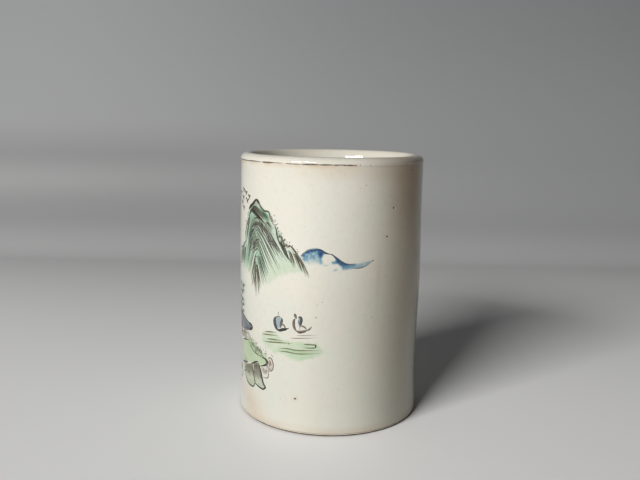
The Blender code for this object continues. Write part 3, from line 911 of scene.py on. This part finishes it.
def paint_bank(washes):
    """The near bank: a grassy top over four rocks, with moss dots on its slope."""
    grass = washes.pool(BANK, 0.4, 0.4, 121)
    washes.stain(grass * (0.85 + 0.2 * noise(washes.along, washes.up, 4.0, 123)), GRASS_WASH)
    washes.stain(washes.spot(-41.0, 34.4, 4.8, 1.3, -22.0) * 0.35, (0.50, 0.62, 0.38))
    rocks = washes.pool(BIG_ROCK + [(-41.6, 22.0), (-42.6, 26.6)], 0.35, 0.2, 125)
    rocks = np.maximum(rocks, washes.pool(LEFT_ROCK + [(-48.0, 24.6)], 0.35, 0.2, 127))
    washes.stain(rocks * (0.30 + 0.4 * ease(-20.0, -15.0, -washes.up)), LEAF_WASH)
    washes.stain(rocks * (0.25 + 1.1 * ease(19.0, 26.5, washes.up)), SHADE_WASH)
    washes.stain(washes.pool(ROUND_ROCK, 0.4, 0.2, 129) * 0.35, (0.80, 0.62, 0.60))
    washes.blots(SHADE_WASH, ((0.25, -33.6, 25.6, 1.8, 1.6), (0.9, -52.0, 23.0, 2.6, 3.0)))
    rows = ((BANK_SLOPE, 0.5, INK, (0.6, 0.3)), (BANK_LIP, 1.0, INK, (0.5, 0.35), 0.0),
            ([(-38.2, 28.6), (-40.0, 28.0), (-42.2, 26.9), (-45.4, 25.4)], 0.9, INK, (0.5, 0.3), 0.0),
            ([(-48.4, 25.4), (-51.6, 24.6), (-55.4, 23.6), (-60.0, 23.2)], 0.9, OLIVE_INK, (0.5, 0.2)),
            (BIG_ROCK[:7], 1.15, INK, (0.4, 0.7), 0.0), (BIG_ROCK[5:], 0.8, INK, (0.9, 0.5), 0.0),
            (LEFT_ROCK[:6], 0.85, INK, (0.4, 0.7)), (LEFT_ROCK[4:], 0.75, INK, (0.9, 0.3)),
            ([(-47.4, 23.2), (-49.6, 21.4), (-52.4, 19.8), (-55.8, 18.6)], 0.5, OLIVE_INK, (0.5, 0.2)),
            ([(-56.0, 35.0), (-51.6, 35.8), (-48.2, 36.8), (-45.6, 37.6)], 0.7, OLIVE_INK, (0.4, 0.3)),
            (SMALL_ROCK, 0.6, PLUM_INK, (0.7, 0.4)), (ROUND_ROCK, 0.7, PLUM_INK, (0.6, 0.6)),
            ([(-31.9, 30.8), (-31.5, 28.6), (-30.6, 27.0), (-29.4, 27.2), (-29.0, 29.0)], 0.5, BROWN_INK),
            ([(-30.9, 30.9), (-30.4, 29.3), (-29.9, 28.0)], 0.45, BROWN_INK))
    strokes = [brush(*row) for row in rows]
    round_fall = [[(-33.0, 31.0), (-32.2, 28.8), (-32.0, 26.4)],
                  [(-29.6, 32.2), (-28.8, 30.0), (-28.8, 27.6)]]
    small_fall = [[(-35.4, 27.0), (-35.4, 25.2), (-35.0, 23.4)],
                  [(-31.4, 26.4), (-31.6, 25.0), (-31.8, 23.8)]]
    tufts = [[(-45.0, 37.2), (-44.0, 36.4), (-43.0, 35.2)], [(-37.0, 34.8), (-36.0, 33.8), (-35.0, 32.6)]]
    for guides, count, width, ink, seed in (
            (ROCK_FALL, 34, 0.40, (0.17, 0.15, 0.10), 131),
            (LEFT_ROCK_FALL, 34, 0.42, (0.15, 0.14, 0.10), 133),
            (ROCK_FALL, 14, 0.45, OLIVE_INK, 134), (LEFT_ROCK_FALL[:2], 10, 0.5, OLIVE_INK, 136),
            (round_fall, 9, 0.42, BROWN_INK, 138), (small_fall, 9, 0.36, BROWN_INK, 135),
            (tufts, 22, 0.42, OLIVE_INK, 137)):
        strokes += fan(guides, count, width, ink, seed)
    crest = [(-47.0, 38.0), (-43.0, 37.2), (-39.4, 35.6), (-36.0, 33.8), (-32.6, 32.6)]
    dots = specks(crest, 46, 0.9, 0.5, INK, 139) + specks(BANK_SLOPE, 24, 0.9, 0.5, OLIVE_INK, 141)
    dots += specks([(-35.4, 34.0), (-31.4, 33.4), (-28.0, 32.6)], 6, 0.6, 0.45, OLIVE_INK, 143)
    return strokes, dots


def paint_hut(washes):
    """The thatched hut on the bank: a slate-blue roof on thin posts, with rushes behind."""
    roof = [(-66.0, 46.4), (-60.0, 48.2), (-55.4, 47.9), (-51.6, 47.0), (-47.4, 45.9), (-44.4, 45.2),
            (-43.0, 44.2), (-44.4, 42.9), (-48.0, 42.0), (-52.0, 41.3), (-57.0, 40.7), (-66.0, 40.4)]
    cover = washes.pool(roof, 0.4, 0.2, 151)
    washes.stain(cover * (1.35 + 0.3 * noise(washes.along * 0.5, washes.up, 1.6, 153)), SLATE_WASH)
    strokes = [brush(roof[:7], 0.8, SLATE_INK, (0.4, 0.9)), brush(roof[5:11], 1.15, SLATE_INK, (0.8, 0.3)),
               brush(roof[4:9], 1.4, INK, (0.2, 0.6), 0.0)]
    strokes += [brush([(along, 41.2), (along - 0.2, 39.4), (along - 0.5, 37.4)], 0.42, BROWN_INK)
                for along in (-49.4, -52.8, -56.4, -60.0, -63.6)]
    strokes += [brush([(along, 40.6), (along + 1.4, 38.8), (along + 2.8, 38.2)], 0.3, BROWN_INK)
                for along in (-52.0, -55.6, -59.2)]
    rail = [(-46.6, 41.0), (-50.0, 39.6), (-54.0, 38.8), (-60.0, 38.6)]
    strokes.append(brush(rail, 0.36, BROWN_INK, (0.3, 0.2)))
    rushes = [[(-45.0, 41.8), (-45.4, 39.6), (-44.6, 37.6)], [(-54.0, 41.4), (-54.4, 39.4), (-54.2, 36.8)]]
    grass = [[(-47.0, 38.4), (-49.0, 37.2), (-51.4, 36.2)], [(-58.0, 39.0), (-60.0, 37.8), (-62.0, 36.8)]]
    return strokes + fan(rushes, 16, 0.4, BROWN_INK, 157) + fan(grass, 22, 0.3, OLIVE_INK, 155)


def paint_birds():
    """A small flock of birds above the peak's left shoulder."""
    flock = ((-53.6, 107.4, 1.7, 0.5), (-50.0, 106.4, 1.9, 0.2), (-46.0, 105.2, 1.3, 0.5),
             (-53.9, 103.8, 1.8, 0.3), (-48.0, 103.0, 2.0, 0.25), (-55.6, 101.4, 1.7, 0.4),
             (-53.0, 99.2, 1.6, 0.5), (-58.8, 105.6, 2.0, 0.3), (-61.4, 102.4, 1.8, 0.4))
    strokes = []
    for along, up, span, lift in flock:
        for side in (-1.0, 1.0):
            reach = span * (1.35 if side < 0.0 else 1.05)
            wing = [(along, up), (along + 0.45 * side * reach, up + 0.50 * reach),
                    (along + side * reach, up + (0.15 + lift) * reach)]
            strokes.append(brush(wing, 0.80, INK, (1.0, 0.15), 0.0))
        body = [(along - 0.7, up + 0.5), (along, up), (along + 0.9, up - 0.9)]
        strokes.append(brush(body, 0.85, INK, (0.6, 0.2), 0.0))
    return strokes


def shifted(guides, along, up, size):
    """Guide strokes mirrored and resized about the tall peak's foot, which goes to (along, up)."""
    peak_foot = np.array([-38.6, 60.0])
    return [(np.array(guide) - peak_foot) * [-size, size] + [along, up] for guide in guides]


def paint_far_side(washes):
    """The landscape's left end, round the side: a lower peak above a shore."""
    peak_at = (-80.0, 60.0, 0.62)
    outline = shifted([MOUNTAIN], *peak_at)[0]
    body = washes.pool(outline, 0.8, 0.7, 161)
    upward = ease(66.0, 84.0, washes.up)
    streaks = 1.0 + 0.5 * noise(washes.along - 0.5 * washes.up, washes.up * 0.12, 1.1, 163)
    washes.stain(body * (0.2 + 0.8 * upward) * streaks, TEAL_WASH)
    washes.stain(body * 0.5 * (1.0 - upward), LEAF_WASH)
    strokes = []
    for line, width in ((PEAK_LEFT, 0.9), (PEAK_RIGHT, 0.6), (NEAR_RIDGE, 0.8), (SLOPE_UPPER, 0.6),
                        (SLOPE_MIDDLE, 0.6), (SLOPE_LOWER, 0.6), (LEFT_EDGE, 0.6)):
        strokes.append(brush(shifted([line], *peak_at)[0], width, INK, (0.5, 0.3)))
    for guides, count, ink, seed in ((RIGHT_FALL, 90, OLIVE_INK, 165), (LEFT_FALL, 76, OLIVE_INK, 166),
                                     (RIDGE_FALL, 40, INK, 167), (SLOPE_FALL, 26, BROWN_INK, 168),
                                     (FOOTHILL_FALL, 34, BROWN_INK, 169)):
        strokes += fan(shifted(guides, *peak_at), count, 0.34, ink, seed)
    return strokes + paint_far_shore(washes)


def paint_far_shore(washes):
    """The far shore below the lower peak: grass, ripples and four rocks."""
    ground = [(-98.0, 30.4), (-92.0, 32.0), (-84.0, 33.6), (-74.0, 34.4), (-62.0, 34.2), (-62.0, 24.0),
              (-72.0, 24.8), (-82.0, 26.4), (-90.0, 28.4)]
    washes.stain(washes.pool(ground, 0.5, 0.5, 171) * 0.9, GRASS_WASH)
    strokes = [brush(ground[:5], 0.6, INK, (0.3, 0.3)), brush(ground[5:] + ground[:1], 0.7, INK, (0.4, 0.2))]
    for ripple in ([(-100.0, 26.6), (-96.0, 27.2), (-91.0, 26.8)],
                   [(-99.0, 21.0), (-92.0, 21.6), (-84.0, 20.8)],
                   [(-92.0, 16.2), (-84.0, 16.9), (-74.0, 16.2)]):
        strokes.append(brush(ripple, 0.4, OLIVE_INK, (0.2, 0.1)))
    tufts = [[(-93.0, 31.4), (-91.6, 30.4), (-89.8, 29.8)], [(-66.0, 33.9), (-64.6, 32.2), (-62.8, 31.2)]]
    strokes += fan(tufts, 34, 0.36, OLIVE_INK, 173) + specks(ground[:5], 40, 0.9, 0.5, INK, 175, -1.0)
    for rocks_at in ((-69.0, 52.0, 0.85), (-85.0, 46.8, 0.60)):
        for rock, falls, seed in ((BIG_ROCK, ROCK_FALL, 177), (LEFT_ROCK, LEFT_ROCK_FALL, 179)):
            outline = shifted([rock], *rocks_at)[0]
            washes.stain(washes.pool(outline, 0.35, 0.2, seed) * 0.6, LEAF_WASH)
            strokes.append(brush(outline, 0.8, INK, (0.6, 0.5)))
            strokes += fan(shifted(falls, *rocks_at), 26, 0.38, OLIVE_INK, seed + 1)
    return strokes


def paint_pines(washes):
    """Two old pines beside the hut, with clumps of needles."""
    strokes, needles = [], []
    chance = np.random.default_rng(181)
    ground = 35.4
    for foot, lean, tall in ((-59.0, 3.4, 27.0), (-67.0, -3.0, 31.0)):
        trunk = [(foot + drift * lean, ground + share * tall)
                 for drift, share in ((0.0, 0.0), (0.4, 0.35), (0.5, 0.7), (1.3, 1.0))]
        strokes.append(brush(trunk, 1.3, BROWN_INK, (0.9, 0.2)))
        strokes.append(brush([(x + 0.35, y) for x, y in trunk], 0.4, INK, (0.7, 0.2)))
        for share in (0.45, 0.58, 0.7, 0.82, 0.94):
            across, rise = [np.interp(share, [0.0, 0.35, 0.7, 1.0], column) for column in zip(*trunk)]
            for side in (-1.0, 1.0):
                reach = chance.uniform(2.4, 4.8)
                tip = (across + side * reach, rise + chance.uniform(0.2, 1.8))
                branch = [(across, rise), (across + 0.5 * side * reach, rise + 0.3), tip]
                strokes.append(brush(branch, 0.45, BROWN_INK))
                washes.stain(washes.spot(tip[0], tip[1] + 0.6, 2.4, 1.1) * 0.9, TEAL_WASH)
                for spread in np.linspace(-1.25, 1.25, 11):
                    for middle in (tip, (across + 0.6 * side * reach, rise + 0.6)):
                        length = chance.uniform(1.1, 1.8)
                        end = (middle[0] + length * math.sin(spread), middle[1] + length * math.cos(spread))
                        needles.append(brush([middle, end], 0.26, SLATE_INK, (0.8, 0.2)))
    return strokes, needles


def paint_lip_line(washes):
    """The thin brown line under the lip: worn through in places, and nearly gone at the right."""
    level = LIP_LOW / MM + 0.34
    halo = np.exp(-((washes.up - LIP_LOW / MM) / 1.1) ** 2) * ease(-14.0, -6.0, -washes.along)
    washes.stain(halo * (0.38 + 0.40 * noise(washes.along, washes.up, 4.0, 192)), RUST_WASH)
    chance = np.random.default_rng(191)
    strokes = []
    along = -0.5 * POT_GIRTH
    while along < 8.0:
        length = chance.uniform(3.0, 12.0)
        ink = np.array(BROWN_INK) * chance.uniform(0.4, 1.2)
        rise = 0.12 * noise(np.array([along, along + 0.5 * length, along + length]), np.zeros(3), 3.0, 193)
        line = [(along + share * length, level + rise[index]) for index, share in enumerate((0.0, 0.5, 1.0))]
        strokes.append(brush(line, chance.uniform(0.34, 0.74), ink, (0.7, 0.5), 0.1))
        along += length + chance.uniform(-1.6, 0.8)
    strokes += [dab(along, level + rise, size, RUST_INK, 0.5) for along, rise, size in
                ((9.8, 0.0, 0.8), (11.6, 0.1, 0.5), (16.4, -0.1, 0.5), (36.7, 0.0, 1.0), (24.0, 0.1, 0.3))]
    return strokes


def paint_specks():
    """Iron specks and pinholes in the glaze: those that show in front, and more strewn all round."""
    chance = np.random.default_rng(195)
    dots = [dab(along, up, size, ink, 0.8 * size) for along, up, size, ink in
            ((-15.9, 15.7, 1.15, BROWN_INK), (-6.4, 54.7, 0.6, BROWN_INK), (-6.1, 60.5, 0.45, PLUM_INK),
             (19.0, 54.3, 0.5, BROWN_INK), (15.2, 55.7, 0.45, PLUM_INK), (-12.3, 94.9, 0.35, PLUM_INK),
             (14.5, 113.3, 0.5, BROWN_INK), (11.9, 112.1, 0.4, PLUM_INK), (25.7, 90.4, 1.0, INK),
             (29.2, 102.9, 1.1, OLIVE_INK), (30.5, 102.7, 0.8, BARE_GLAZE), (42.0, 119.0, 0.9, INK),
             (9.0, 26.0, 0.35, PLUM_INK), (29.0, 33.0, 0.4, BROWN_INK))]
    for _ in range(70):
        along, up = chance.uniform(-138.0, 138.0), chance.uniform(4.0, 118.0)
        size, shade = chance.uniform(0.15, 0.40), chance.uniform(0.8, 1.8)
        dots.append(dab(along, up, size, np.array(BROWN_INK) * shade))
    return dots


def tone_and_shade_the_glaze(washes):
    """The glaze's tones, with painted shade: peach near the foot and the lip, a tea-brown tone at the right
    that is partly painted shade, and plain grey painted shade over the right side.
    """
    near_foot = ease(4.5, 1.0, washes.up) * (0.35 + 0.35 * noise(washes.along, washes.up, 9.0, 197))
    near_lip = ease(112.0, 120.0, washes.up) * (0.30 + 0.30 * noise(washes.along, washes.up, 12.0, 198))
    washes.stain(near_foot + near_lip, PEACH_WASH)
    washes.blots(PEACH_WASH, ((0.5, -15.9, 15.7, 1.6, 1.3), (0.75, -44.0, 6.0, 11.0, 6.5, -30.0),
                              (0.5, 21.5, 72.0, 0.8, 9.0), (0.85, 40.0, 114.0, 12.0, 17.0)))
    # partly painted shade: the right side, away from the light, darkened with a tea-brown tone
    washes.stain(washes.spot(42.0, 70.0, 17.0, 75.0) * 1.25, TEA_STAIN_AND_SHADE_WASH)
    # painted shade: plain grey darkening over the right side, away from the light
    washes.stain(washes.spot(16.0, 58.0, 22.0, 30.0) * 0.7, PAINTED_SHADE_WASH)
    washes.stain(ease(6.0, 34.0, washes.along) * ease(-110.0, -60.0, -washes.along), PAINTED_SHADE_WASH)


def paint_the_pot(surfaces):
    """Lay the washes and draw every group of strokes in its own piece."""
    washes = Washes(surfaces["outer_coat"])
    enamel = enamel_material("brushed_enamel")
    mountain, moss = paint_mountain(washes)
    bank, bank_moss = paint_bank(washes)
    pines, needles = paint_pines(washes)
    for name, strokes in (
            ("mountain_strokes", mountain), ("mountain_moss_dots", moss),
            ("blue_hill_outline", paint_blue_hill(washes)), ("sailing_boats", paint_boats(washes)),
            ("water_ripples", paint_water(washes)), ("bank_and_rocks", bank), ("bank_moss_dots", bank_moss),
            ("thatched_hut", paint_hut(washes)), ("flock_of_birds", paint_birds()),
            ("far_peak_and_shore", paint_far_side(washes)), ("pine_trunks", pines),
            ("pine_needles", needles), ("brown_lip_line", paint_lip_line(washes)),
            ("iron_specks", paint_specks())):
        draw(name, strokes, enamel)
    tone_and_shade_the_glaze(washes)
    washes.dry()


# ---------------------------------------------------------------- stage, light and camera


def make_stage():
    """A pale floor that sweeps up into a grey backdrop behind the pot."""
    half_width, front, bend, bend_radius, top = 3.0, -3.0, 0.34, 0.10, 0.45
    outline = [(front, 0.0)]
    outline += [(front + (bend - front) * step / 12.0, 0.0) for step in range(1, 12)]
    outline += [(bend + bend_radius * math.sin(turn), bend_radius * (1.0 - math.cos(turn)))
                for turn in np.linspace(0.0, 0.5 * math.pi, 17)]
    outline.append((bend + bend_radius, top))
    points = [(side * half_width, y, z) for y, z in outline for side in (-1, 1)]
    faces = [(2 * index, 2 * index + 1, 2 * index + 3, 2 * index + 2) for index in range(len(outline) - 1)]
    sweep = mesh_object("paper_sweep", points, faces)
    sweep.data.materials.append(paper_material("pale_paper"))


def paper_material(name):
    """The stage's pale paper in softly changing greys: it turns grey up into the backdrop, and painted shade
    makes it darker far off, up the bend and at the left.
    """
    material, shader = new_material(name, Roughness=0.55)
    where = place(material)
    split = add_node(material, "ShaderNodeSeparateXYZ", {"Vector": where}).outputs
    away = add_node(material, "ShaderNodeVectorMath", {0: where}, operation="LENGTH").outputs["Value"]
    receding = ramp(material, split["Y"], -0.02, 0.57)
    # painted shade: darker at the floor's left, off the floor, up the wall, at the bend's left and far off
    floor_left = ramp(material, split["X"], 0.10, -0.20, 0.0, 0.14)
    off_the_floor = ramp(material, split["Z"], -0.004, 0.035, 0.0, 0.40)
    up_the_wall = ramp(material, split["Z"], 0.09, 0.34, 0.0, 0.50)
    bend_left = ramp(material, split["X"], 0.12, -0.22, 0.0, 0.32)
    bend = times(material, ramp(material, split["Z"], 0.0, 0.06), ramp(material, split["Z"], 0.14, 0.09))
    far_off = ramp(material, away, 0.55, 0.95, 0.0, 0.85)
    colour = blend(material, receding, (0.98, 0.98, 0.98), (0.31, 0.32, 0.325))
    for share, darker in ((floor_left, (0.45, 0.45, 0.46)), (off_the_floor, (0.16, 0.165, 0.17)),
                          (up_the_wall, (0.13, 0.15, 0.16)),
                          (times(material, bend, bend_left), (0.12, 0.12, 0.12)),
                          (far_off, (0.12, 0.12, 0.12))):
        colour = blend(material, share, colour, darker)
    join(material, colour, shader.inputs["Base Color"])
    return material


def aim(thing, place_at, target):
    """Put a light at a place and point it at a target."""
    thing.location = place_at
    thing.rotation_euler = (Vector(target) - Vector(place_at)).to_track_quat("-Z", "Y").to_euler()


def soft_box(name, azimuth, elevation, distance, width, height, power, colour):
    """An area light facing the pot; azimuth is measured from the front towards the left, in degrees."""
    lamp = bpy.data.lights.new(name, "AREA")
    lamp.shape = "RECTANGLE"
    lamp.size = width
    lamp.size_y = height
    lamp.energy = power
    lamp.color = colour
    holder = bpy.data.objects.new(name, lamp)
    bpy.context.scene.collection.objects.link(holder)
    turn, tilt = math.radians(azimuth), math.radians(elevation)
    middle = Vector((0.0, 0.0, 0.5 * POT_TOP))
    away = Vector((-math.sin(turn) * math.cos(tilt), -math.cos(turn) * math.cos(tilt), math.sin(tilt)))
    aim(holder, middle + away * distance, middle)


def make_light():
    """One soft box at the front left, and a dim warm room."""
    soft_box("key", azimuth=37.5, elevation=28.0, distance=2.4, width=1.18, height=0.54, power=64.0,
             colour=(1.0, 0.99, 0.97))
    world = bpy.data.worlds.new("room")
    world.use_nodes = True
    background = world.node_tree.nodes["Background"]
    background.inputs["Color"].default_value = (1.0, 0.88, 0.70, 1.0)
    background.inputs["Strength"].default_value = 0.002
    bpy.context.scene.world = world
    bpy.context.scene.view_settings.view_transform = "Standard"


def make_camera():
    """The camera that looks down a little on the pot, which stands right of the picture's middle."""
    lens = bpy.data.cameras.new("camera")
    lens.lens = 39.88
    lens.sensor_width = 36.0
    lens.clip_start = 0.01
    camera = bpy.data.objects.new("camera", lens)
    bpy.context.scene.collection.objects.link(camera)
    pitch, roll = math.radians(9.7), math.radians(1.0)
    turned = Matrix.Rotation(math.radians(90.0) - pitch, 4, "X") @ Matrix.Rotation(roll, 4, "Z")
    eye = (-0.0052, -0.3433, 0.1410)
    camera.matrix_world = Matrix.Translation(eye) @ turned
    bpy.context.scene.camera = camera


make_camera()
make_stage()
make_light()
surfaces = make_surfaces()
paint_the_pot(surfaces)
